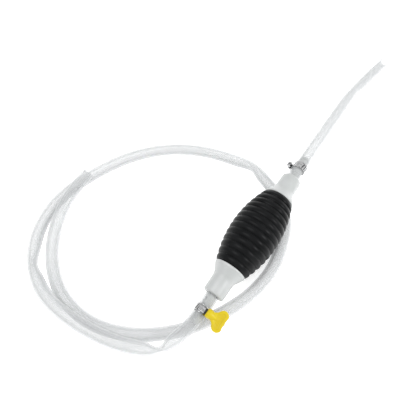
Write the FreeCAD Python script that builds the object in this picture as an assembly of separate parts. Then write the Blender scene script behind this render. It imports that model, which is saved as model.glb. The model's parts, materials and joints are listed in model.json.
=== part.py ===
"""Hand siphon pump: a ribbed rubber squeeze bulb between two capped check valves, with a long
and a short clear hose held on the spigots by worm-drive hose clamps.

Millimetres, +Z up. The pump lies along X with its inlet end towards +X, tipped up a little at
the inlet. The origin is under the middle of the pump and its clamps, on the surface they lie on.
"""
import FreeCAD
import Part
import math
import os
from FreeCAD import Base

V = Base.Vector

# Hose: clear tube, 12 mm outside, 9 mm bore.
HOSE_R = 6.0
HOSE_BORE_R = 4.5

# Squeeze bulb: a ribbed barrel.
BULB_HALF = 41.5            # half its length
BULB_R = 23.75              # crest of the middle rib
MOUTH_R = 15.6              # the ribs' envelope at the mouths
RIB_COUNT = 13
RIB_DEPTH = 1.1             # crest to groove
BULB_WALL = 3.8             # envelope to cavity
MOUTH_BORE_R = 12.0
MOUTH_LIP = 8.5             # depth of the mouth's straight bore

# End caps, measured outwards from the bulb's mouth.
PLUG_DEPTH = 8.0            # ring that plugs the mouth
PLUG_BORE_R = 10.0
FLANGE_R = 15.3
FLANGE_T = 1.6
NECK_R = 10.0               # the cylinder that holds the valve
CONE_END = 10.5             # where the cone meets that cylinder
SHOULDER = 27.5             # where the cap ends and its spigot starts
SHOULDER_ROUND = 1.8
SPIGOT_LEN = 28.0
SPIGOT_BORE_R = 3.0
BARB_RISE = 0.4
BARB_PLACES = (7.0, 13.0, 19.0, 25.0)   # barb crests, from the shoulder
BARB_LEN = 2.4

# Check valve cartridge in the cap's chamber.
CHAMBER_R = 8.0
CHAMBER_IN = 7.5
CHAMBER_OUT = 24.5
VALVE_BORE_R = 6.6
SEAT_WALL = 2.0
SEAL_T = 2.0
SEAL_BORE_R = 3.2
BALL_R = 4.5
BALL_GAP = 0.03             # ball to the edge of its seal when shut
RETAINER_T = 2.2
HUB_R = 2.2
SPOKE_W = 1.6
GUIDE_W = 1.4
GUIDE_R = 4.56              # inner reach of the ball's guide ribs

# Worm-drive clamps.
BAND_W = 7.0
BAND_T = 0.7
TAIL_T = 0.6                # the slotted tail that lies over the band
TAIL_FROM = -70.0           # degrees round the hose from the worm
TAIL_TO = 230.0
SLOT_W = 1.1
SLOT_L = 5.0
SLOT_STEP = 22.0            # degrees
WORM_R = 2.5
WORM_GAP = 0.1              # worm to tail
WORM_FIT = 0.06             # worm to its housing
NECK_PIN_R = 1.9
HOUSING_W = 6.4
HOUSING_BACK = 4.4
HOUSING_FRONT = 2.6
HOUSING_WALL = 0.8
HEAD_R = 2.9                # corners of the hexagon
HEAD_LEN = 2.6
HEAD_SLOT = 1.0
HEAD_SLOT_DEPTH = 1.1
OUTLET_CLAMP = 15.4         # band middles, from the cap's shoulder
INLET_CLAMP = 15.5
OUTLET_ROLL = 10.0          # degrees about the pump's axis
INLET_ROLL = -125.0

# Butterfly key on the outlet clamp's screw; distances run along the screw.
KEY_START = 3.2
KEY_HUB_R = 4.1
KEY_HUB_END = 9.5
KEY_T = 3.4
KEY_EDGE = 1.1
KEY_CORNER = 1.2
TANG_LEN = 7.0
TANG_W = 4.6
TANG_T = 1.4

# How the pump lies.
PUMP_TILT = 2.5             # degrees, inlet end up
AXIS_Y = 0.0

# Hose routes, from the cap's shoulder to the cut end.
OUTLET_ROUTE = [
    (-68.9, 0, 20.8), (-84.6, 0.1, 20.1), (-102, 1.2, 19.6), (-115.8, 4.6, 19.4),
    (-130.6, 11.8, 18.2), (-140.4, 28, 17.6), (-147.2, 46, 17.6), (-152.2, 69, 17.6),
    (-154.6, 92.4, 17.6), (-154, 117, 14.8), (-148.6, 138.6, 10.2), (-137.4, 159.6, 6.8),
    (-119, 175, 6), (-98, 184.3, 6), (-73.4, 187.5, 6), (-47.3, 183.4, 6),
    (-15.6, 172.6, 6), (13.6, 157, 6), (40.2, 132.6, 6), (59, 100.4, 6),
    (67.6, 71.4, 6), (71.6, 44.8, 6), (64, 20.8, 6), (52.8, -2, 6),
    (33.2, -18.8, 6), (9, -27, 6), (-18, -31.1, 6), (-46.6, -26.6, 6),
    (-73.6, -15.2, 6), (-100.8, 1.2, 6), (-119.8, 19.4, 6), (-134.4, 39.6, 6),
    (-144.8, 62.4, 6), (-149.2, 89, 6), (-143.8, 118.6, 6), (-127.4, 145.4, 6.5),
    (-104, 164.2, 8), (-80, 174.8, 11.2), (-58, 176.9, 15.9), (-38.8, 176.2, 18.6),
]
INLET_ROUTE = [
    (68.9, 0, 26.8), (88, 0.1, 27.7), (108, 0.3, 28), (140, 0.1, 27),
    (179.5, 1.2, 21.5), (220.5, 1.4, 13), (261, -2.6, 7), (289.4, -6.8, 6), (304.9, -9.4, 6),
]

WORM_N = HOSE_R + BAND_T + TAIL_T + WORM_GAP + WORM_R   # worm axis to hose axis


def solid_of_turn(points_and_edges, axis=V(1, 0, 0)):
    """A full turn about the axis of a closed outline of edges."""
    return Part.Face(Part.Wire(points_and_edges)).revolve(V(0, 0, 0), axis, 360)


def line(a, b):
    return Part.LineSegment(a, b).toShape()


def arc(a, b, c):
    return Part.Arc(a, b, c).toShape()


def outline(corners):
    """Closed outline through (x, r) corners, in the plane of X and Z."""
    pts = [V(x, 0, r) for x, r in corners]
    return [line(p, q) for p, q in zip(pts, pts[1:] + pts[:1])]


def ring(x0, x1, r_in, r_out):
    """A ring about X from x0 to x1."""
    outer = Part.makeCylinder(r_out, x1 - x0, V(x0, 0, 0), V(1, 0, 0))
    return outer.cut(Part.makeCylinder(r_in, x1 - x0, V(x0, 0, 0), V(1, 0, 0)))


def rod(x0, x1, r):
    return Part.makeCylinder(r, x1 - x0, V(x0, 0, 0), V(1, 0, 0))


def block(x0, x1, y0, y1, z0, z1):
    return Part.makeBox(x1 - x0, y1 - y0, z1 - z0, V(x0, y0, z0))


def envelope(x):
    """Radius of the bulb's rib crests: one long arc from mouth to mouth."""
    rise = BULB_R - MOUTH_R
    big = (BULB_HALF ** 2 + rise ** 2) / (2 * rise)
    return BULB_R - big + math.sqrt(big ** 2 - x ** 2)


RIB_PITCH = 2 * BULB_HALF / RIB_COUNT
RIB_CENTRES = [(i - (RIB_COUNT - 1) / 2) * RIB_PITCH for i in range(RIB_COUNT)]
TILT = math.radians(PUMP_TILT)
AXIS_Z = max(envelope(x) * math.cos(TILT) - x * math.sin(TILT) for x in RIB_CENTRES)


def laid(shape):
    """Puts a shape made about the pump's own axis where the pump lies."""
    turn = Base.Rotation(V(0, 1, 0), -PUMP_TILT)
    out = shape.copy()
    out.Placement = Base.Placement(V(0, AXIS_Y, AXIS_Z), turn).multiply(shape.Placement)
    return out


def bulb():
    edges = []
    for x in RIB_CENTRES:
        left, right = x - RIB_PITCH / 2, x + RIB_PITCH / 2
        a = V(left, 0, envelope(left) - RIB_DEPTH)
        b = V(right, 0, envelope(right) - RIB_DEPTH)
        edges.append(arc(a, V(x, 0, envelope(x)), b))
    lip = BULB_HALF - MOUTH_LIP
    cavity = envelope(lip) - BULB_WALL
    end_r = envelope(BULB_HALF) - RIB_DEPTH
    right = [V(BULB_HALF, 0, end_r), V(BULB_HALF, 0, MOUTH_BORE_R),
             V(lip, 0, MOUTH_BORE_R), V(lip, 0, cavity)]
    left = [V(-p.x, 0, p.z) for p in reversed(right)]
    edges += [line(p, q) for p, q in zip(right, right[1:])]
    edges.append(arc(right[-1], V(0, 0, BULB_R - BULB_WALL), left[0]))
    edges += [line(p, q) for p, q in zip(left, left[1:])]
    return solid_of_turn(edges)


def cap():
    """The end cap, along +X from the bulb's mouth at x = 0."""
    top = SHOULDER - SHOULDER_ROUND
    slant = SHOULDER_ROUND * (1 - math.sqrt(0.5))
    tip = SHOULDER + SPIGOT_LEN
    outer = [(-PLUG_DEPTH, PLUG_BORE_R), (-PLUG_DEPTH, MOUTH_BORE_R - 0.6),
             (-PLUG_DEPTH + 1.2, MOUTH_BORE_R), (0, MOUTH_BORE_R), (0, FLANGE_R),
             (FLANGE_T, FLANGE_R), (FLANGE_T + 0.3, FLANGE_R - 0.5), (CONE_END, NECK_R), (top, NECK_R)]
    pts = [V(x, 0, r) for x, r in outer]
    edges = [line(p, q) for p, q in zip(pts, pts[1:])]
    shoulder_end = V(SHOULDER, 0, NECK_R - SHOULDER_ROUND)
    edges.append(arc(pts[-1], V(SHOULDER - slant, 0, NECK_R - slant), shoulder_end))
    rest = [(SHOULDER, NECK_R - SHOULDER_ROUND), (SHOULDER, HOSE_BORE_R)]
    for place in BARB_PLACES:
        crest = SHOULDER + place
        rest += [(crest, HOSE_BORE_R), (crest, HOSE_BORE_R + BARB_RISE), (crest + BARB_LEN, HOSE_BORE_R)]
    rest += [(tip, HOSE_BORE_R - 0.2), (tip, SPIGOT_BORE_R), (CHAMBER_OUT, SPIGOT_BORE_R),
             (CHAMBER_OUT, CHAMBER_R), (CHAMBER_IN, CHAMBER_R), (CHAMBER_IN - 2.5, PLUG_BORE_R),
             (-PLUG_DEPTH, PLUG_BORE_R)]
    pts = [V(x, 0, r) for x, r in rest]
    edges += [line(p, q) for p, q in zip(pts, pts[1:])]
    return solid_of_turn(edges)


def valve():
    """The check valve's pieces along +X, seat at x = 0, liquid flowing towards +X."""
    length = CHAMBER_OUT - CHAMBER_IN
    body_end = length - RETAINER_T
    body = ring(0, body_end, VALVE_BORE_R, CHAMBER_R)
    body = body.fuse(ring(0, SEAT_WALL, SPIGOT_BORE_R, VALVE_BORE_R))
    seal_face = SEAT_WALL + SEAL_T
    for i in range(3):
        guide = block(seal_face, body_end, -GUIDE_W / 2, GUIDE_W / 2, GUIDE_R, VALVE_BORE_R + 0.5)
        guide.rotate(V(0, 0, 0), V(1, 0, 0), 120 * i + 60)
        body = body.fuse(guide)
    body = body.removeSplitter()
    seal = ring(SEAT_WALL, seal_face, SEAL_BORE_R, VALVE_BORE_R)
    reach = math.sqrt((BALL_R + BALL_GAP) ** 2 - SEAL_BORE_R ** 2)
    ball = Part.makeSphere(BALL_R, V(seal_face + reach, 0, 0))
    retainer = ring(body_end, length, VALVE_BORE_R, CHAMBER_R).fuse(rod(body_end, length, HUB_R))
    for i in range(3):
        spoke = block(body_end, length, -SPOKE_W / 2, SPOKE_W / 2, 0, VALVE_BORE_R + 0.5)
        spoke.rotate(V(0, 0, 0), V(1, 0, 0), 120 * i)
        retainer = retainer.fuse(spoke)
    return {"body": body, "seal": seal, "ball": ball, "retainer": retainer.removeSplitter()}


def sector(x0, x1, r_in, r_out, a0, a1):
    """Part of a ring about X between two angles, from +Z towards +Y."""
    shell = ring(x0, x1, r_in, r_out)
    far = 2 * r_out
    steps = [math.radians(a0 + (a1 - a0) * i / 4) for i in range(5)]
    corners = [V(x0, far * math.sin(a), far * math.cos(a)) for a in steps]
    wedge = Part.Face(Part.makePolygon([V(x0, 0, 0)] + corners + [V(x0, 0, 0)]))
    return shell.common(wedge.extrude(V(x1 - x0, 0, 0)))


def clamp_band():
    """Band about X, with the worm over +Z and the slotted tail lapped on top of it."""
    w = BAND_W / 2
    inner = HOSE_R + BAND_T
    outer = inner + TAIL_T
    band = ring(-w, w, HOSE_R, inner)
    tail = sector(-w, w, inner, outer, TAIL_FROM, TAIL_TO)
    for i in range(int((TAIL_TO - TAIL_FROM) / SLOT_STEP)):
        slot = block(-SLOT_L / 2, SLOT_L / 2, -SLOT_W / 2, SLOT_W / 2, inner, outer + 1)
        slot.rotate(V(0, 0, 0), V(1, 0, 0), -(TAIL_FROM + SLOT_STEP * (i + 0.6)))
        tail = tail.cut(slot)
    return band.fuse(tail).removeSplitter()


def across(y0, y1, r, z=WORM_N):
    """A rod along the screw's line, which points to -Y; y0 and y1 are distances along it."""
    return Part.makeCylinder(r, y1 - y0, V(0, -y0, z), V(0, -1, 0))


def clamp_housing():
    """Saddle over the tail, with the worm's bore and a window down to the slots."""
    r = WORM_R + WORM_FIT + HOUSING_WALL
    shell = across(-HOUSING_BACK, HOUSING_FRONT, r)
    w = HOUSING_W / 2
    foot = block(-w, w, -HOUSING_FRONT, HOUSING_BACK, HOSE_R - 1, WORM_N)
    shell = shell.fuse(foot)
    shell = shell.cut(rod(-BAND_W, BAND_W, HOSE_R + BAND_T + TAIL_T))
    shell = shell.cut(across(-HOUSING_BACK - 1, HOUSING_FRONT + 1, WORM_R + WORM_FIT))
    window = block(-1.9, 1.9, 0.9 - HOUSING_FRONT, HOUSING_BACK - 1.2, HOSE_R, WORM_N)
    return shell.cut(window).removeSplitter()


def clamp_screw(keyed):
    worm = across(-HOUSING_BACK + 0.3, HOUSING_FRONT - 0.2, WORM_R)
    if keyed:
        shaft = across(HOUSING_FRONT - 0.2, KEY_START, NECK_PIN_R)
        tang = block(-TANG_W / 2, TANG_W / 2, -KEY_START - TANG_LEN, -KEY_START,
                     WORM_N - TANG_T / 2, WORM_N + TANG_T / 2)
        return worm.fuse(shaft).fuse(tang)
    start = HOUSING_FRONT + 0.2
    shaft = across(HOUSING_FRONT - 0.2, start, NECK_PIN_R)
    corners = [V(HEAD_R * math.sin(math.radians(60 * i)), -start,
                 WORM_N + HEAD_R * math.cos(math.radians(60 * i))) for i in range(7)]
    head = Part.Face(Part.makePolygon(corners)).extrude(V(0, -HEAD_LEN, 0))
    slot = block(-HEAD_SLOT / 2, HEAD_SLOT / 2, -start - HEAD_LEN - 1,
                 -start - HEAD_LEN + HEAD_SLOT_DEPTH, WORM_N - HEAD_R - 1, WORM_N + HEAD_R + 1)
    return worm.fuse(shaft).fuse(head.cut(slot))


def clamp_key():
    """Two round wings on a short hub, pressed over the screw's flat tang."""
    side = [(8.0, 3.4), (10.8, 4.8), (12.4, 7.0), (17.0, 9.6), (21.2, 6.0), (20.4, 0.0)]
    at = [V(x, -s, WORM_N) for s, x in side]
    back = [V(-p.x, p.y, p.z) for p in at]
    edges = [arc(at[0], at[1], at[2]), arc(at[2], at[3], at[4]), arc(at[4], at[5], back[4]),
             arc(back[4], back[3], back[2]), arc(back[2], back[1], back[0]), line(back[0], at[0])]
    wings = Part.Face(Part.Wire(edges)).extrude(V(0, 0, KEY_T))
    wings.translate(V(0, 0, -KEY_T / 2))
    upright = [e for e in wings.Edges if abs(e.BoundBox.ZLength - KEY_T) < 1e-6 and abs(e.BoundBox.YMin) > 20]
    wings = wings.makeFillet(KEY_CORNER, upright)
    rims = [e for e in wings.Edges if e.BoundBox.ZLength < 1e-6 and e.BoundBox.YMin < -9]
    wings = wings.makeFillet(KEY_EDGE, rims)
    hub_end = V(0, -KEY_HUB_END, WORM_N)
    hub = across(KEY_START + 1.0, KEY_HUB_END, KEY_HUB_R)
    nose = Part.makeCone(KEY_HUB_R - 0.9, KEY_HUB_R, 1.0, V(0, -KEY_START, WORM_N), V(0, -1, 0))
    dome = Part.makeSphere(KEY_HUB_R, hub_end)
    key = wings.fuse(hub).fuse(nose).fuse(dome)
    tang = block(-TANG_W / 2, TANG_W / 2, -KEY_START - TANG_LEN, -KEY_START,
                 WORM_N - TANG_T / 2, WORM_N + TANG_T / 2)
    return key.cut(tang).removeSplitter()


def hose_path(route, name):
    """Straight runs joined by tangent arcs, each as large as its two runs allow."""
    pts = [V(*p) for p in route]
    edges = []
    radii = []
    length = 0.0
    start = pts[0]
    for before, here, after in zip(pts, pts[1:], pts[2:]):
        back = before - here
        on = after - here
        half = (math.pi - back.getAngle(on)) / 2
        cut = 0.45 * min(back.Length, on.Length)
        radius = cut / math.tan(half)
        a = here + back.normalize() * cut
        b = here + on.normalize() * cut
        inward = (back + on).normalize()
        middle = here + inward * (radius / math.cos(half) - radius)
        edges += [line(start, a), arc(a, middle, b)]
        length += start.distanceToPoint(a) + 2 * half * radius
        radii.append(round(radius, 1))
        start = b
    edges.append(line(start, pts[-1]))
    length += start.distanceToPoint(pts[-1])
    print(name, "length", round(length, 1), "arc radii", radii)
    return Part.Wire(edges), length


def hose(route, name):
    path, length = hose_path(route, name)
    start = V(*route[0])
    way = V(*route[1]) - start
    section = []
    for r in (HOSE_R, HOSE_BORE_R):
        circle = Part.Wire(Part.makeCircle(r, start, way))
        section.append(path.makePipeShell([circle], True, False, 2))
    tube = section[0].cut(section[1])
    expected = math.pi * (HOSE_R ** 2 - HOSE_BORE_R ** 2) * length
    print(name, "volume", round(tube.Volume, 1), "section times length", round(expected, 1))
    return tube


def turned(shape, degrees, x):
    """Rolls a clamp piece about the pump's axis and slides it to its place."""
    out = shape.copy()
    out.rotate(V(0, 0, 0), V(1, 0, 0), degrees)
    out.translate(V(x, 0, 0))
    return out


def main():
    nodes = {"bulb": laid(bulb())}
    facing = {"inlet": 1, "outlet": -1}
    for end, way in facing.items():
        piece = cap()
        if way < 0:
            piece.rotate(V(0, 0, 0), V(0, 0, 1), 180)
        piece.translate(V(way * BULB_HALF, 0, 0))
        nodes[end + "_cap"] = laid(piece)
    for end in facing:
        for name, piece in valve().items():
            # liquid runs from the inlet, at +X, to the outlet, at -X
            piece.rotate(V(0, 0, 0), V(0, 0, 1), 180)
            seat = CHAMBER_OUT + BULB_HALF if end == "inlet" else -CHAMBER_IN - BULB_HALF
            piece.translate(V(seat, 0, 0))
            nodes[end + "_valve_" + name] = laid(piece)
    places = {"inlet": (BULB_HALF + SHOULDER + INLET_CLAMP, INLET_ROLL),
              "outlet": (-BULB_HALF - SHOULDER - OUTLET_CLAMP, OUTLET_ROLL)}
    for end, (x, roll) in places.items():
        pieces = {"band": clamp_band(), "housing": clamp_housing(), "screw": clamp_screw(end == "outlet")}
        if end == "outlet":
            pieces["key"] = clamp_key()
        for name, piece in pieces.items():
            nodes[end + "_clamp_" + name] = laid(turned(piece, roll, x))
    nodes["outlet_hose"] = hose(OUTLET_ROUTE, "outlet_hose")
    nodes["inlet_hose"] = hose(INLET_ROUTE, "inlet_hose")
    os.makedirs("parts", exist_ok=True)
    for name, shape in nodes.items():
        if not shape.isValid() or len(shape.Solids) != 1:
            raise RuntimeError(name + " is not one valid solid")
        shape.Solids[0].exportStep("parts/" + name + ".step")
    box = Base.BoundBox()
    for name, shape in nodes.items():
        if not name.endswith("_hose"):
            box.add(shape.BoundBox)
    print("pump and clamps: middle", round(box.Center.x, 2), round(box.Center.y, 2), "lowest", round(box.ZMin, 2))


main()
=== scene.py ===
"""Hand siphon pump with its two hoses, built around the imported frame."""
import json
import math
import bmesh
import bpy
from mathutils import Matrix, Vector


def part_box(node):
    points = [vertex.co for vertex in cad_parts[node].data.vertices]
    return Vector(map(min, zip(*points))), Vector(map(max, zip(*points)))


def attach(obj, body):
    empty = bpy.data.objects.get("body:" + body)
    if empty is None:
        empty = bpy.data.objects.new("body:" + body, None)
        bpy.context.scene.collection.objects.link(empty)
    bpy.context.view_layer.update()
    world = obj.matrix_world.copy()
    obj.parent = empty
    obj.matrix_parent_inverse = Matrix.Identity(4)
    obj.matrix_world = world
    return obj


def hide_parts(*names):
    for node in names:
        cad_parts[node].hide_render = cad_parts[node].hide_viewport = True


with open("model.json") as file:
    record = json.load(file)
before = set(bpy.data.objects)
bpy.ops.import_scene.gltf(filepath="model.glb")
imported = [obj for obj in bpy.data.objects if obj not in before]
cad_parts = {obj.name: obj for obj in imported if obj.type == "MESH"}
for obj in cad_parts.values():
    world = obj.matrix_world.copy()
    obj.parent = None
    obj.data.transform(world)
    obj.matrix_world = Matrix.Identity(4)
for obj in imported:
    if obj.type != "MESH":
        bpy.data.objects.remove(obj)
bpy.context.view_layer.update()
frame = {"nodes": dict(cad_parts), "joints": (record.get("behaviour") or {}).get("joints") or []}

MM = 0.001

# ---------------------------------------------------------------- where things are
# The bulb is round about the pump's axis, so the middle of its box is on that axis.
BULB_LOW, BULB_HIGH = (Vector(corner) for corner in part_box("bulb"))
JOINTS = {joint["name"]: joint for joint in frame["joints"]}
FLOW = Vector(JOINTS["inlet_valve_lift"]["axis"])
TILT = math.asin(-FLOW.z)
PUMP = Matrix.Translation((BULB_LOW + BULB_HIGH) / 2) @ Matrix.Rotation(-TILT, 4, "Y")

# Millimetres from here on; every mesh is scaled to metres as it is placed.
BULB_HALF = 41.5
BULB_R = 23.75
MOUTH_R = 15.6
MOUTH_BORE_R = 12.0
RIB_COUNT = 13
RIB_DEPTH = 1.3
BULB_WALL = 3.8
SHOULDER = 27.5
NECK_R = 10.0
HOSE_R = 6.0
HOSE_WALL = 1.5
BAND_W = 7.0
BAND_T = 0.7
TAIL_T = 0.6
TAIL_FROM = -70.0
TAIL_TO = 230.0
SLOT_W = 1.1
SLOT_STEP = 22.0
SLOT_LEAN = 0.025
WORM_R = 2.5
WORM_N = 9.9
HOUSING_BACK = 4.4
HOUSING_FRONT = 2.6
SADDLE_FRONT = 1.3
COLLAR_R = 2.7
KEY_START = 3.2
HEAD_R = 2.9
HEAD_LEN = 2.6
HEAD_SLOT = 1.0
HEAD_SLOT_DEPTH = 1.1

# Roll about the pump's axis and distance of the band's middle from the bulb's middle.
CLAMPS = {"inlet": (-125.0, BULB_HALF + SHOULDER + 15.5),
          "outlet": (10.0, -BULB_HALF - SHOULDER - 15.4)}

OUTLET_ROUTE = [
    (-68.9, 0, 20.8), (-84.6, 0.1, 20.1), (-102, 1.2, 19.6), (-115.8, 4.6, 19.4),
    (-130.6, 11.8, 18.2), (-140.4, 28, 17.6), (-147.2, 46, 17.6), (-152.2, 69, 17.6),
    (-154.6, 92.4, 17.6), (-154, 117, 14.8), (-148.6, 138.6, 10.2), (-137.4, 159.6, 6.8),
    (-119, 175, 6), (-98, 184.3, 6), (-73.4, 187.5, 6), (-47.3, 183.4, 6),
    (-15.6, 172.6, 6), (13.6, 157, 6), (40.2, 132.6, 6), (59, 100.4, 6),
    (67.6, 71.4, 6), (71.6, 44.8, 6), (64, 20.8, 6), (52.8, -2, 6),
    (33.2, -18.8, 6), (9, -27, 6), (-18, -31.1, 6), (-46.6, -26.6, 6),
    (-73.6, -15.2, 6), (-100.8, 1.2, 6), (-119.8, 19.4, 6), (-134.4, 39.6, 6),
    (-144.8, 62.4, 6), (-149.2, 89, 6), (-143.8, 118.6, 6), (-127.4, 145.4, 6.5),
    (-104, 164.2, 8), (-80, 174.8, 11.2), (-58, 176.9, 15.9), (-38.8, 176.2, 18.6),
]
INLET_ROUTE = [
    (68.9, 0, 26.8), (88, 0.1, 27.7), (108, 0.3, 28), (140, 0.1, 27),
    (179.5, 1.2, 21.5), (220.5, 1.4, 13), (261, -2.6, 7), (289.4, -6.8, 6), (304.9, -9.4, 6),
]
# Where a wall has folded in on the inside of a bend: place, loss of width, reach along the hose.
OUTLET_FOLDS = [((-129, 11.8, 18), 0.55, 8.0), ((-138, 156, 7), 0.34, 12.0), ((70, 45, 6), 0.38, 10.0)]
INLET_FOLDS = [((228, 1, 12), 0.15, 12.0)]


# ---------------------------------------------------------------- camera
def make_camera():
    data = bpy.data.cameras.new("camera")
    data.lens = 30.72
    data.sensor_width = 36.0
    data.clip_start = 0.01
    camera = bpy.data.objects.new("camera", data)
    bpy.context.collection.objects.link(camera)
    stand = Vector((-128.28, -36.66, 329.34)) * MM
    aim = Vector((6.24, 57.50, 0.0)) * MM
    camera.location = stand
    camera.rotation_euler = (aim - stand).to_track_quat("-Z", "Y").to_euler()
    bpy.context.scene.camera = camera


# ---------------------------------------------------------------- node and colour helpers
def tone(code):
    """An sRGB hex value as a linear colour."""
    parts = [int(code[i:i + 2], 16) / 255 for i in (0, 2, 4)]
    linear = [p / 12.92 if p <= 0.04045 else ((p + 0.055) / 1.055) ** 2.4 for p in parts]
    return (*linear, 1.0)


def add(tree, kind, settings=(), links=()):
    """Adds a node, sets its inputs or properties, and links sockets to its inputs."""
    node = tree.nodes.new(kind)
    for name, value in dict(settings).items():
        if name in node.inputs:
            node.inputs[name].default_value = value
        else:
            setattr(node, name, value)
    for name, socket in dict(links).items():
        tree.links.new(socket, node.inputs[name])
    return node


def finish_material(name, shader_settings, build):
    """A material with one Principled shader; build adds the pattern and returns its links."""
    material = bpy.data.materials.new(name)
    material.use_nodes = True
    tree = material.node_tree
    tree.nodes.clear()
    links = build(tree)
    shader = add(tree, "ShaderNodeBsdfPrincipled", shader_settings, links)
    add(tree, "ShaderNodeOutputMaterial", links={"Surface": shader.outputs["BSDF"]})
    return material


def per_mm(size):
    """Texture scale, in cells per metre, for features of a size in millimetres."""
    return 1000.0 / size


def two_tones(tree, factor, first, second):
    ramp = add(tree, "ShaderNodeValToRGB", links={"Fac": factor})
    ramp.color_ramp.elements[0].color = tone(first)
    ramp.color_ramp.elements[1].color = tone(second)
    ramp.color_ramp.elements[0].position = 0.3
    ramp.color_ramp.elements[1].position = 0.7
    return ramp.outputs["Color"]


def moulded_rubber():
    """Black natural rubber from a blasted mould: even, dull, with a soft sheen on each rib."""
    def build(tree):
        place = add(tree, "ShaderNodeTexCoord").outputs["Object"]
        bloom = add(tree, "ShaderNodeTexNoise", {"Scale": per_mm(9.0), "Detail": 4.0}, {"Vector": place})
        grain = add(tree, "ShaderNodeTexNoise", {"Scale": per_mm(0.7), "Detail": 3.0}, {"Vector": place})
        bump = add(tree, "ShaderNodeBump", {"Strength": 0.25, "Distance": 0.1 * MM},
                   {"Height": grain.outputs["Fac"]})
        shine = add(tree, "ShaderNodeMapRange", {"To Min": 0.26, "To Max": 0.38},
                    {"Value": bloom.outputs["Fac"]})
        return {"Base Color": two_tones(tree, bloom.outputs["Fac"], "0C0D0E", "151617"),
                "Roughness": shine.outputs["Result"], "Normal": bump.outputs["Normal"]}
    return finish_material("moulded_rubber", {"IOR": 1.45, "Specular IOR Level": 0.09}, build)


def milky_polyethylene():
    """Natural low-density polyethylene, injection moulded: waxy, lets light in a few millimetres."""
    def build(tree):
        place = add(tree, "ShaderNodeTexCoord").outputs["Object"]
        flow = add(tree, "ShaderNodeTexNoise", {"Scale": per_mm(12.0), "Detail": 2.0}, {"Vector": place})
        skin = add(tree, "ShaderNodeTexNoise", {"Scale": per_mm(1.6), "Detail": 2.0}, {"Vector": place})
        bump = add(tree, "ShaderNodeBump", {"Strength": 0.12, "Distance": 0.1 * MM},
                   {"Height": skin.outputs["Fac"]})
        return {"Base Color": two_tones(tree, flow.outputs["Fac"], "A8ABAA", "B0B2B2"),
                "Normal": bump.outputs["Normal"]}
    settings = {"Roughness": 0.36, "IOR": 1.51, "Subsurface Weight": 0.35,
                "Subsurface Radius": (1.0, 1.0, 1.0), "Subsurface Scale": 2.5 * MM}
    return finish_material("milky_polyethylene", settings, build)


# How much one surface of the hose hides, seen face on and at its outline.
CLEAREST = 0.27
CLOUDIEST = 0.6


def clear_vinyl():
    """Flexible clear PVC tube, extruded: cloudy in bulk, glossy, with faint draw lines along it."""
    def build(tree):
        along = add(tree, "ShaderNodeAttribute", {"attribute_name": "along"}).outputs["Fac"]
        around = add(tree, "ShaderNodeAttribute", {"attribute_name": "around"}).outputs["Vector"]
        stretch = add(tree, "ShaderNodeCombineXYZ", links={"Z": along})
        where = add(tree, "ShaderNodeVectorMath", {"operation": "ADD"},
                    {0: around, 1: stretch.outputs["Vector"]})
        lines = add(tree, "ShaderNodeTexNoise", {"Scale": 5.0, "Detail": 2.0},
                    {"Vector": where.outputs["Vector"]})
        bump = add(tree, "ShaderNodeBump", {"Strength": 0.1, "Distance": 0.1 * MM},
                   {"Height": lines.outputs["Fac"]})
        # a tube's wall is seen edge-on at its outline, so it is cloudiest there
        wall = add(tree, "ShaderNodeLayerWeight", {"Blend": 0.5})
        cloud = add(tree, "ShaderNodeMapRange",
                    {"From Min": 0.1, "From Max": 0.7, "To Min": CLEAREST, "To Max": CLOUDIEST},
                    {"Value": wall.outputs["Facing"]})
        return {"Base Color": two_tones(tree, lines.outputs["Fac"], "BEC0C1", "C5C7C8"),
                "Normal": bump.outputs["Normal"], "Alpha": cloud.outputs["Result"]}
    settings = {"Roughness": 0.3, "IOR": 1.53, "Specular IOR Level": 0.3}
    return finish_material("clear_vinyl", settings, build)


def rolled_steel(name, dark, bright, shine_range):
    """Cold-rolled steel strip: fine rolling lines that run round the hose, drawn coarse to show."""
    def build(tree):
        place = add(tree, "ShaderNodeTexCoord").outputs["Object"]
        squash = add(tree, "ShaderNodeMapping", {"Scale": (4.0, 0.5, 0.5)}, {"Vector": place})
        rolling = add(tree, "ShaderNodeTexNoise", {"Scale": per_mm(0.8), "Detail": 3.0},
                      {"Vector": squash.outputs["Vector"]})
        shine = add(tree, "ShaderNodeMapRange", {"To Min": shine_range[0], "To Max": shine_range[1]},
                    {"Value": rolling.outputs["Fac"]})
        bump = add(tree, "ShaderNodeBump", {"Strength": 0.08, "Distance": 0.05 * MM},
                   {"Height": rolling.outputs["Fac"]})
        return {"Roughness": shine.outputs["Result"], "Normal": bump.outputs["Normal"],
                "Base Color": two_tones(tree, rolling.outputs["Fac"], dark, bright)}
    return finish_material(name, {"Metallic": 1.0}, build)


def yellow_abs():
    """Yellow ABS, injection moulded: satin, its tone varying a little at random."""
    def build(tree):
        place = add(tree, "ShaderNodeTexCoord").outputs["Object"]
        flow = add(tree, "ShaderNodeTexNoise", {"Scale": per_mm(5.0), "Detail": 2.0}, {"Vector": place})
        skin = add(tree, "ShaderNodeTexNoise", {"Scale": per_mm(0.6), "Detail": 2.0}, {"Vector": place})
        bump = add(tree, "ShaderNodeBump", {"Strength": 0.15, "Distance": 0.05 * MM},
                   {"Height": skin.outputs["Fac"]})
        return {"Base Color": two_tones(tree, flow.outputs["Fac"], "B8A006", "C2AE0A"),
                "Normal": bump.outputs["Normal"]}
    return finish_material("yellow_abs", {"Roughness": 0.38, "IOR": 1.54, "Specular IOR Level": 0.3}, build)


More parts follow.
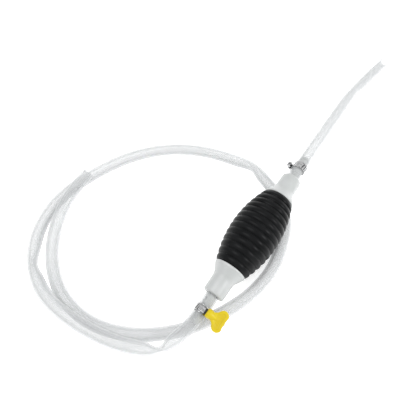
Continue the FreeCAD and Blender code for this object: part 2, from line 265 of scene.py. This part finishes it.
def speckled(name, tones, grain_mm, settings):
    """The valves' hidden mouldings: an even colour with a fine moulded grain."""
    def build(tree):
        place = add(tree, "ShaderNodeTexCoord").outputs["Object"]
        grain = add(tree, "ShaderNodeTexNoise", {"Scale": per_mm(grain_mm)}, {"Vector": place})
        bump = add(tree, "ShaderNodeBump", {"Strength": 0.15, "Distance": 0.05 * MM},
                   {"Height": grain.outputs["Fac"]})
        return {"Base Color": two_tones(tree, grain.outputs["Fac"], *tones),
                "Normal": bump.outputs["Normal"]}
    return finish_material(name, settings, build)


RUBBER = moulded_rubber()
POLYETHYLENE = milky_polyethylene()
VINYL = clear_vinyl()
STEEL = rolled_steel("zinc_plated_steel", "77797B", "DCDCDC", (0.14, 0.3))
# near-black steel: painted shade, laid on the strap under its tail and on the screw's neck past the saddle,
# where those parts sit in shade
PAINTED_SHADE_STEEL = rolled_steel("painted_shade_steel", "1E1F21", "4A4C4E", (0.35, 0.5))
YELLOW = yellow_abs()
ACETAL = speckled("white_acetal", ("E2E2DF", "EAEAE8"), 0.8, {"Roughness": 0.35, "IOR": 1.48})
NITRILE = speckled("nitrile_rubber", ("1B1B1C", "232324"), 0.5, {"Roughness": 0.6, "IOR": 1.52})
BALL_PLASTIC = speckled("polypropylene_ball", ("E6E5E0", "EDECE8"), 1.5, {"Roughness": 0.25, "IOR": 1.49})


# ---------------------------------------------------------------- mesh helpers
def piece(name, bm, place, materials, body, slot, *nodes):
    """Turns a bmesh in millimetres into a finished piece that stands for its CAD nodes."""
    bmesh.ops.remove_doubles(bm, verts=bm.verts, dist=0.001)
    bmesh.ops.recalc_face_normals(bm, faces=bm.faces)
    bmesh.ops.transform(bm, matrix=place @ Matrix.Scale(MM, 4), verts=bm.verts)
    mesh = bpy.data.meshes.new(name)
    bm.to_mesh(mesh)
    bm.free()
    for material in materials if isinstance(materials, tuple) else (materials,):
        mesh.materials.append(material)
    obj = bpy.data.objects.new(name, mesh)
    bpy.context.collection.objects.link(obj)
    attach(obj, body)
    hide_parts(*nodes)
    return obj


def smooth(obj, degrees=30):
    """Smooth shading, with edges kept sharp past an angle."""
    mesh = obj.data
    mesh.shade_smooth()
    mesh.set_sharp_from_angle(angle=math.radians(degrees))


def rounded(corners, steps=5):
    """An outline through (x, r, fillet) corners, each fillet drawn as a curve that leaves and
    joins the sides at its own size."""
    points = []
    for i, (x, r, fillet) in enumerate(corners):
        here = Vector((x, r))
        if not fillet:
            points.append(here)
            continue
        before = Vector(corners[i - 1][:2]) - here
        after = Vector(corners[(i + 1) % len(corners)][:2]) - here
        start = here + before.normalized() * fillet
        end = here + after.normalized() * fillet
        for k in range(steps + 1):
            t = k / steps
            points.append(start * (1 - t) ** 2 + here * 2 * t * (1 - t) + end * t ** 2)
    return points


def spun(outline, steps=96, angle=math.tau, axis=(1, 0, 0), closed=True):
    """A bmesh of an (x, r) outline turned about X."""
    bm = bmesh.new()
    verts = [bm.verts.new((p[0], 0, p[1])) for p in outline]
    ends = verts[1:] + verts[:1] if closed else verts[1:]
    edges = [bm.edges.new(pair) for pair in zip(verts, ends)]
    bmesh.ops.spin(bm, geom=verts + edges, axis=axis, cent=(0, 0, 0), angle=angle, steps=steps,
                   use_merge=angle == math.tau)
    return bm


# ---------------------------------------------------------------- bulb
def envelope(x):
    """Radius of the ribs' crests: one long arc from mouth to mouth."""
    rise = BULB_R - MOUTH_R
    big = (BULB_HALF ** 2 + rise ** 2) / (2 * rise)
    return BULB_R - big + math.sqrt(big ** 2 - x ** 2)


def make_bulb():
    """Each rib is a flat-topped wave; the grooves between them are narrow and soft at the bottom."""
    pitch = 2 * BULB_HALF / RIB_COUNT
    steps = 14
    outer = []
    for i in range(RIB_COUNT * steps + 1):
        x = -BULB_HALF + pitch * i / steps
        across = abs(2 * (i % steps) / steps - 1)
        outer.append(Vector((x, envelope(x) - RIB_DEPTH * across ** 2.2)))
    lip = BULB_HALF - 8.5
    cavity = envelope(lip) - BULB_WALL
    inner = [Vector((BULB_HALF, MOUTH_BORE_R)), Vector((lip, MOUTH_BORE_R))]
    for k in range(13):
        x = lip * (1 - k / 6)
        inner.append(Vector((x, cavity + (BULB_R - BULB_WALL - cavity) * (1 - (x / lip) ** 2))))
    inner += [Vector((-lip, MOUTH_BORE_R)), Vector((-BULB_HALF, MOUTH_BORE_R))]
    bm = spun(outer + inner, steps=120)
    obj = piece("bulb_moulding", bm, PUMP, RUBBER, "pump", "bulb_rubber", "bulb")
    smooth(obj, 50)


# ---------------------------------------------------------------- caps
def make_cap(end):
    """Plug, flange, cone, round-shouldered neck and barbed spigot, in one moulding."""
    spigot = SHOULDER + 28.0
    corners = [(-8, 10, 0), (-8, 11.4, 0), (-6.8, 12, 0), (0, 12, 0), (0, 15.3, 0.3), (1.6, 15.3, 0.6),
               (2.6, 14.5, 0.6), (10.5, 10.15, 2.5), (SHOULDER, NECK_R - 0.15, 2.0), (SHOULDER, 4.5, 0)]
    for crest in (7.0, 13.0, 19.0, 25.0):
        x = SHOULDER + crest
        corners += [(x, 4.5, 0), (x, 4.9, 0), (x + 2.4, 4.5, 0)]
    corners += [(spigot, 4.3, 0), (spigot, 3, 0), (24.5, 3, 0), (24.5, 8, 0), (7.5, 8, 0), (5, 10, 0)]
    bm = spun(rounded(corners, 6))
    side = 1 if end == "inlet" else -1
    facing = Matrix.Rotation(0 if side > 0 else math.pi, 4, "Z")
    place = PUMP @ facing @ Matrix.Translation((BULB_HALF * MM, 0, 0))
    obj = piece(end + "_cap_moulding", bm, place, POLYETHYLENE, "pump", "cap_plastic", end + "_cap")
    smooth(obj, 35)


# ---------------------------------------------------------------- hoses
def line_of(route):
    """Points, in metres, read from the smooth line that a route's points control."""
    curve = bpy.data.curves.new("line", "CURVE")
    curve.dimensions = "3D"
    curve.resolution_u = 10
    spline = curve.splines.new("NURBS")
    spline.points.add(len(route) - 1)
    for point, place in zip(spline.points, route):
        point.co = (*(c * MM for c in place), 1.0)
    spline.order_u = 3
    spline.use_endpoint_u = True
    holder = bpy.data.objects.new("line", curve)
    mesh = bpy.data.meshes.new_from_object(holder)
    points = [v.co.copy() for v in mesh.vertices]
    bpy.data.objects.remove(holder)
    bpy.data.meshes.remove(mesh)
    bpy.data.curves.remove(curve)
    return points


def next_ring(bm, ring):
    """Extrudes an open ring of a tube by one step and returns the new ring in the same order."""
    edges = [bm.edges.get(pair) for pair in zip(ring, ring[1:] + ring[:1])]
    grown = set(bmesh.ops.extrude_edge_only(bm, edges=edges)["geom"])
    return [next(e.other_vert(v) for e in v.link_edges if e.other_vert(v) in grown) for v in ring]


def make_hose(end, route, folds):
    """A ring carried along the line, narrowed at the folds, then given its wall."""
    line = line_of(route)
    travelled = [0.0]
    for a, b in zip(line, line[1:]):
        travelled.append(travelled[-1] + (b - a).length)
    last = len(line) - 1
    tangents = [(line[min(i + 1, last)] - line[max(i - 1, 0)]).normalized() for i in range(len(line))]
    sides = [Vector((0, 0, 1)).cross(t).normalized() for t in tangents]
    pinches = []
    for at, loss, reach in folds:
        k = min(range(len(line)), key=lambda i: (line[i] - Vector(at) * MM).length)
        bend = line[min(k + 12, last)] + line[max(k - 12, 0)] - 2 * line[k]
        pinches.append((travelled[k], loss, reach * MM, math.copysign(1.0, bend.dot(sides[k]))))

    facets = 40
    bm = bmesh.new()
    along = bm.verts.layers.float.new("along")
    around = bm.verts.layers.float_vector.new("around")
    ring = bmesh.ops.create_circle(bm, segments=facets, radius=1.0)["verts"]
    for i, (here, ahead, side) in enumerate(zip(line, tangents, sides)):
        if i:
            ring = next_ring(bm, ring)
        wide = tall = HOSE_R * MM
        centre = here.copy()
        for where, loss, reach, inwards in pinches:
            near = loss * math.exp(-((travelled[i] - where) / reach) ** 2)
            wide -= HOSE_R * MM * near
            tall += HOSE_R * MM * near * 0.45
            centre -= side * inwards * HOSE_R * MM * near * 0.55
        centre.z = max(centre.z, tall)
        top = ahead.cross(side)
        for k, vert in enumerate(ring):
            a = math.tau * k / facets
            vert.co = (centre + side * wide * math.cos(a) + top * tall * math.sin(a)) / MM
            vert[along] = travelled[i] / MM
            vert[around] = (math.cos(a), math.sin(a), 0)
    obj = piece(end + "_hose_tube", bm, Matrix.Identity(4), VINYL, "pump", "hose_vinyl", end + "_hose")
    wall = obj.modifiers.new("wall", "SOLIDIFY")
    wall.thickness = HOSE_WALL * MM
    wall.offset = -1.0
    smooth(obj, 40)


# ---------------------------------------------------------------- clamps
def clamp_place(end):
    """A clamp's own frame: X along the hose, Z out to the worm, and the screw along -Y."""
    roll, x = CLAMPS[end]
    return PUMP @ Matrix.Translation((x * MM, 0, 0)) @ Matrix.Rotation(math.radians(roll), 4, "X")


def screw_place(end):
    """The screw's own frame: Z along the screw to its head, X along the hose."""
    return clamp_place(end) @ Matrix.Translation((0, 0, WORM_N * MM)) @ Matrix.Rotation(math.pi / 2, 4, "X")


def add_from(bm, other):
    """Moves another bmesh's faces into this one."""
    mesh = bpy.data.meshes.new("part")
    other.to_mesh(mesh)
    other.free()
    bm.from_mesh(mesh)
    bpy.data.meshes.remove(mesh)


def slotted_tail():
    """The strap's free end: a curved strip with a slanted slot at every step of the worm."""
    half, reach, slot_half = BAND_W / 2, HOSE_R + BAND_T + TAIL_T / 2, 2.5
    bm = bmesh.new()
    verts = [bm.verts.new((x, 0, reach)) for x in (-half, -slot_half, slot_half, half)]
    front = verts + [bm.edges.new(pair) for pair in zip(verts, verts[1:])]
    to_start = Matrix.Rotation(math.radians(-TAIL_FROM), 3, "X")
    bmesh.ops.rotate(bm, verts=verts, cent=(0, 0, 0), matrix=to_start)
    slots = int((TAIL_TO - TAIL_FROM) / SLOT_STEP)
    slot_angle = math.degrees(SLOT_W / reach)
    for i in range(slots + 1):
        for angle, steps, cut in ((SLOT_STEP - slot_angle, 3, False), (slot_angle, 2, True)):
            before = set(bm.faces)
            spin = bmesh.ops.spin(bm, geom=front, axis=(1, 0, 0), cent=(0, 0, 0), steps=steps,
                                  angle=-math.radians(angle), use_duplicate=False)
            front = spin["geom_last"]
            if cut and i < slots:
                middle = [f for f in bm.faces if f not in before and abs(f.calc_center_median().x) < 1]
                bmesh.ops.delete(bm, geom=middle, context="FACES_ONLY")
    for vert in bm.verts:
        lean = Matrix.Rotation(SLOT_LEAN * max(-slot_half, min(slot_half, vert.co.x)), 3, "X")
        vert.co = lean @ vert.co
    loose = [e for e in bm.edges if not e.link_faces]
    bmesh.ops.delete(bm, geom=loose, context="EDGES")
    bmesh.ops.recalc_face_normals(bm, faces=bm.faces)
    bmesh.ops.solidify(bm, geom=bm.faces, thickness=TAIL_T - 0.05)
    return bm


def make_band(end):
    half = BAND_W / 2
    outline = [(-half, HOSE_R, 0.15), (half, HOSE_R, 0.15), (half, HOSE_R + BAND_T, 0.2),
               (-half, HOSE_R + BAND_T, 0.2)]
    bm = spun(rounded(outline, 2), steps=96)
    # the strap is painted near-black as shade where its own tail lies over it and is seen only through the
    # slots, and stays bright steel in the gap between the tail's ends
    bare = math.radians((TAIL_FROM + TAIL_TO) / 2 - 180)
    for face in bm.faces:
        middle = face.calc_center_median()
        off_bare = (math.atan2(middle.y, middle.z) - bare + math.pi) % math.tau - math.pi
        face.material_index = int(abs(off_bare) > math.pi - math.radians(TAIL_TO - TAIL_FROM) / 2)
    add_from(bm, slotted_tail())
    obj = piece(end + "_clamp_strap", bm, clamp_place(end), (STEEL, PAINTED_SHADE_STEEL), "pump", "clamp_steel",
                end + "_clamp_band")
    smooth(obj, 35)


def make_housing(end):
    """A stamped saddle: a barrel over the worm, straight sides, and feet that lie on the strap."""
    barrel = WORM_R + 0.06 + 0.4
    bm = bmesh.new()
    foot = [(-3.5, 0.0), (-3.2, 0.0), (-barrel, -1.6)]
    over = [(-barrel * math.cos(math.pi * k / 12), barrel * math.sin(math.pi * k / 12)) for k in range(13)]
    profile = foot + over + [(-x, n) for x, n in reversed(foot)]
    verts = [bm.verts.new((x, HOUSING_BACK, WORM_N + n)) for x, n in profile]
    edges = [bm.edges.new(pair) for pair in zip(verts, verts[1:])]
    steps = 8
    for _ in range(steps):
        grown = bmesh.ops.extrude_edge_only(bm, edges=edges)["geom"]
        edges = [g for g in grown if isinstance(g, bmesh.types.BMEdge)]
        fresh = [g for g in grown if isinstance(g, bmesh.types.BMVert)]
        bmesh.ops.translate(bm, verts=fresh, vec=(0, -(HOUSING_BACK + SADDLE_FRONT) / steps, 0))
    outer = HOSE_R + BAND_T + TAIL_T + 0.35
    for vert in bm.verts:
        if abs(vert.co.x) > barrel + 0.1:
            vert.co.z = math.sqrt(outer ** 2 - vert.co.y ** 2)
    bmesh.ops.recalc_face_normals(bm, faces=bm.faces)
    bmesh.ops.solidify(bm, geom=bm.faces, thickness=0.7)
    obj = piece(end + "_clamp_saddle", bm, clamp_place(end), STEEL, "pump", "clamp_steel",
                end + "_clamp_housing")
    smooth(obj, 40)


def rod(bm, start, end, radius, segments=32, chamfer=0.3):
    """A chamfered rod along Z."""
    verts = bmesh.ops.create_cone(bm, cap_ends=True, segments=segments, radius1=radius, radius2=radius,
                                  depth=end - start,
                                  matrix=Matrix.Translation((0, 0, (start + end) / 2)))["verts"]
    edges = dict.fromkeys(e for v in verts for e in v.link_edges)
    rims = [e for e in edges if abs(e.verts[0].co.z - e.verts[1].co.z) < 1e-6]
    bmesh.ops.bevel(bm, geom=rims, offset=chamfer, segments=2, profile=0.5, affect="EDGES", material=-1)


def worm():
    """The screw's threaded length, along Z: a core with one helical thread wound round it."""
    start, end, pitch, per_turn = -HOUSING_BACK + 0.3, SADDLE_FRONT - 0.2, 2.2, 24
    bm = bmesh.new()
    rod(bm, start, end + 0.4, WORM_R - 0.6)
    turns = (end - start - 1.0) / pitch
    root = WORM_R - 0.7
    tooth = [(root, 0.0), (WORM_R, 0.35), (WORM_R, 0.65), (root, 1.0)]
    verts = [bm.verts.new((x, 0, start + z)) for x, z in tooth]
    face = bm.faces.new(verts)
    steps = round(turns * per_turn)
    bmesh.ops.spin(bm, geom=[face] + list(face.edges) + verts, axis=(0, 0, 1), cent=(0, 0, 0),
                   angle=math.tau * steps / per_turn, steps=steps, dvec=(0, 0, pitch / per_turn))
    return bm


def make_screw(end, body):
    bm = worm()
    rod(bm, SADDLE_FRONT - 0.6, KEY_START + 0.6, 1.9)
    rod(bm, SADDLE_FRONT + 0.25, KEY_START - 0.3, COLLAR_R)
    # the neck and collar past the saddle's front take the near-black steel, painted shade for the gap in
    # front of the saddle
    for face in bm.faces:
        face.material_index = int(face.calc_center_median().z > SADDLE_FRONT)
    if end == "inlet":
        add_from(bm, slotted_head())
    obj = piece(end + "_clamp_worm", bm, screw_place(end), (STEEL, PAINTED_SHADE_STEEL), body, "clamp_steel",
                end + "_clamp_screw")
    smooth(obj, 35)


def slotted_head():
    """Hexagon head with a screwdriver slot across it."""
    start = HOUSING_FRONT + 0.2
    bm = bmesh.new()
    bmesh.ops.create_circle(bm, cap_ends=True, segments=6, radius=HEAD_R,
                            matrix=Matrix.Translation((0, 0, start)))
    for side in (-1, 1):
        bmesh.ops.bisect_plane(bm, geom=list(bm.faces) + list(bm.edges) + list(bm.verts),
                               plane_co=(side * HEAD_SLOT / 2, 0, 0), plane_no=(1, 0, 0))
    for depth, keep in ((HEAD_LEN - HEAD_SLOT_DEPTH, 0.0), (HEAD_SLOT_DEPTH, HEAD_SLOT / 2)):
        lids = [f for f in bm.faces if abs(f.normal.z) > 0.9 and abs(f.calc_center_median().x) >= keep
                and f.calc_center_median().z >= start + (HEAD_LEN - HEAD_SLOT_DEPTH if keep else 0) - 0.01]
        grown = bmesh.ops.extrude_face_region(bm, geom=lids, use_keep_orig=not keep)["geom"]
        fresh = [g for g in grown if isinstance(g, bmesh.types.BMVert)]
        bmesh.ops.translate(bm, verts=fresh, vec=(0, 0, depth))
        bm.normal_update()
    return bm


# ---------------------------------------------------------------- key
def three_point_arc(a, b, c, steps):
    """Points of the circle through three points, from a to c, without c."""
    d = 2 * (a.x * (b.y - c.y) + b.x * (c.y - a.y) + c.x * (a.y - b.y))
    aa, bb, cc = (p.length_squared for p in (a, b, c))
    ux = (aa * (b.y - c.y) + bb * (c.y - a.y) + cc * (a.y - b.y)) / d
    uy = (aa * (c.x - b.x) + bb * (a.x - c.x) + cc * (b.x - a.x)) / d
    centre = Vector((ux, uy))
    start, middle, stop = (math.atan2(p.y - uy, p.x - ux) for p in (a, b, c))
    sweep = (stop - start) % math.tau
    if (middle - start) % math.tau > sweep:
        sweep -= math.tau
    radius = (a - centre).length
    angles = [start + sweep * k / steps for k in range(steps)]
    return [centre + radius * Vector((math.cos(angle), math.sin(angle))) for angle in angles]


def make_key():
    """Two lobes on a short round hub. The rim stands proud of a shallow dish on each face."""
    corners = ((3.4, 8.0), (4.8, 10.8), (7.0, 12.4), (9.6, 17.0), (6.0, 21.2), (0.0, 20.4))
    side = [Vector(p) for p in corners]
    other = [Vector((-p.x, p.y)) for p in side]
    outline = three_point_arc(side[0], side[1], side[2], 10)
    outline += three_point_arc(side[2], side[3], side[4], 16)
    outline += three_point_arc(side[4], side[5], other[4], 12)
    outline += three_point_arc(other[4], other[3], other[2], 16)
    outline += three_point_arc(other[2], other[1], other[0], 10)
    outline += [other[0]]
    bm = bmesh.new()
    half = 1.7
    bottom = bm.faces.new([bm.verts.new((p.x, -half, p.y)) for p in outline])
    grown = bmesh.ops.extrude_face_region(bm, geom=[bottom], use_keep_orig=True)["geom"]
    fresh = [g for g in grown if isinstance(g, bmesh.types.BMVert)]
    bmesh.ops.translate(bm, verts=fresh, vec=(0, 2 * half, 0))
    bmesh.ops.recalc_face_normals(bm, faces=bm.faces)
    for face in [f for f in bm.faces if len(f.verts) > 6]:
        inward = Vector((0, -math.copysign(0.75, face.normal.y), 0))
        bmesh.ops.inset_region(bm, faces=[face], thickness=2.3, depth=0, use_even_offset=True)
        bmesh.ops.inset_region(bm, faces=[face], thickness=0.7, depth=0, use_even_offset=True)
        bmesh.ops.translate(bm, verts=face.verts, vec=inward)
    hub = [(KEY_START, 0), (KEY_START, 3.1), (KEY_START + 0.5, 3.8), (4.8, 4.15), (6.2, 4.2), (8.0, 3.9),
           (10.0, 3.2), (12.4, 2.1), (14.4, 0.9), (14.8, 0)]
    hub_bm = bmesh.new()
    verts = [hub_bm.verts.new((r, 0, z)) for z, r in hub]
    edges = [hub_bm.edges.new(pair) for pair in zip(verts, verts[1:])]
    bmesh.ops.spin(hub_bm, geom=verts + edges, axis=(0, 0, 1), cent=(0, 0, 0), angle=math.tau, steps=48,
                   use_merge=True)
    bmesh.ops.remove_doubles(hub_bm, verts=hub_bm.verts, dist=0.001)
    add_from(bm, hub_bm)
    obj = piece("outlet_clamp_butterfly", bm, screw_place("outlet"), YELLOW, "outlet_screw_and_key",
                "key_plastic", "outlet_clamp_key")
    fuse = obj.modifiers.new("fuse", "REMESH")
    fuse.mode = "VOXEL"
    fuse.voxel_size = 0.28 * MM
    soften = obj.modifiers.new("soften", "SMOOTH")
    soften.factor = 0.5
    soften.iterations = 10
    applied = bpy.data.meshes.new_from_object(obj.evaluated_get(bpy.context.evaluated_depsgraph_get()))
    obj.modifiers.clear()
    obj.data = applied
    applied.shade_smooth()


# ---------------------------------------------------------------- inside pieces
def dress_valves():
    """The valves' CAD solids are already their real shape, so they only take their materials."""
    finishes = {"body": ACETAL, "retainer": ACETAL, "seal": NITRILE, "ball": BALL_PLASTIC}
    for end in CLAMPS:
        for part, material in finishes.items():
            mesh = frame["nodes"][end + "_valve_" + part].data
            mesh.materials.clear()
            mesh.materials.append(material)


# ---------------------------------------------------------------- floor and light
def make_floor():
    bm = bmesh.new()
    bmesh.ops.create_grid(bm, x_segments=1, y_segments=1, size=3.0)
    mesh = bpy.data.meshes.new("floor")
    bm.to_mesh(mesh)
    bm.free()
    floor = bpy.data.objects.new("floor", mesh)
    bpy.context.collection.objects.link(floor)
    lit = {"Base Color": tone("FAFAFA"), "Roughness": 0.9, "Emission Color": tone("FFFFFF"),
           "Emission Strength": 0.5}
    paper = finish_material("back_lit_card", lit, lambda tree: {})
    mesh.materials.append(paper)


def area_light(name, place, size, power, aim=(0.0, 0.06, 0.0)):
    data = bpy.data.lights.new(name, "AREA")
    data.shape = "DISK"
    data.size = size
    data.energy = power
    light = bpy.data.objects.new(name, data)
    light.location = place
    light.rotation_euler = (Vector(aim) - Vector(place)).to_track_quat("-Z", "Y").to_euler()
    bpy.context.collection.objects.link(light)


def make_light():
    world = bpy.data.worlds.new("studio")
    bpy.context.scene.world = world
    world.use_nodes = True
    world.node_tree.nodes["Background"].inputs["Color"].default_value = tone("FFFFFF")
    world.node_tree.nodes["Background"].inputs["Strength"].default_value = 0.95
    area_light("overhead", (-0.35, 0.55, 1.4), 1.0, 9.0)
    area_light("key", (0.3, -1.1, 0.95), 0.4, 9.0)
    bpy.context.scene.view_settings.view_transform = "Standard"


# ---------------------------------------------------------------- build
make_camera()
make_hose("outlet", OUTLET_ROUTE, OUTLET_FOLDS)
make_hose("inlet", INLET_ROUTE, INLET_FOLDS)
make_bulb()
for end, body in (("inlet", "inlet_screw"), ("outlet", "outlet_screw_and_key")):
    make_cap(end)
    make_band(end)
    make_housing(end)
    make_screw(end, body)
make_key()
dress_valves()
make_floor()
make_light()
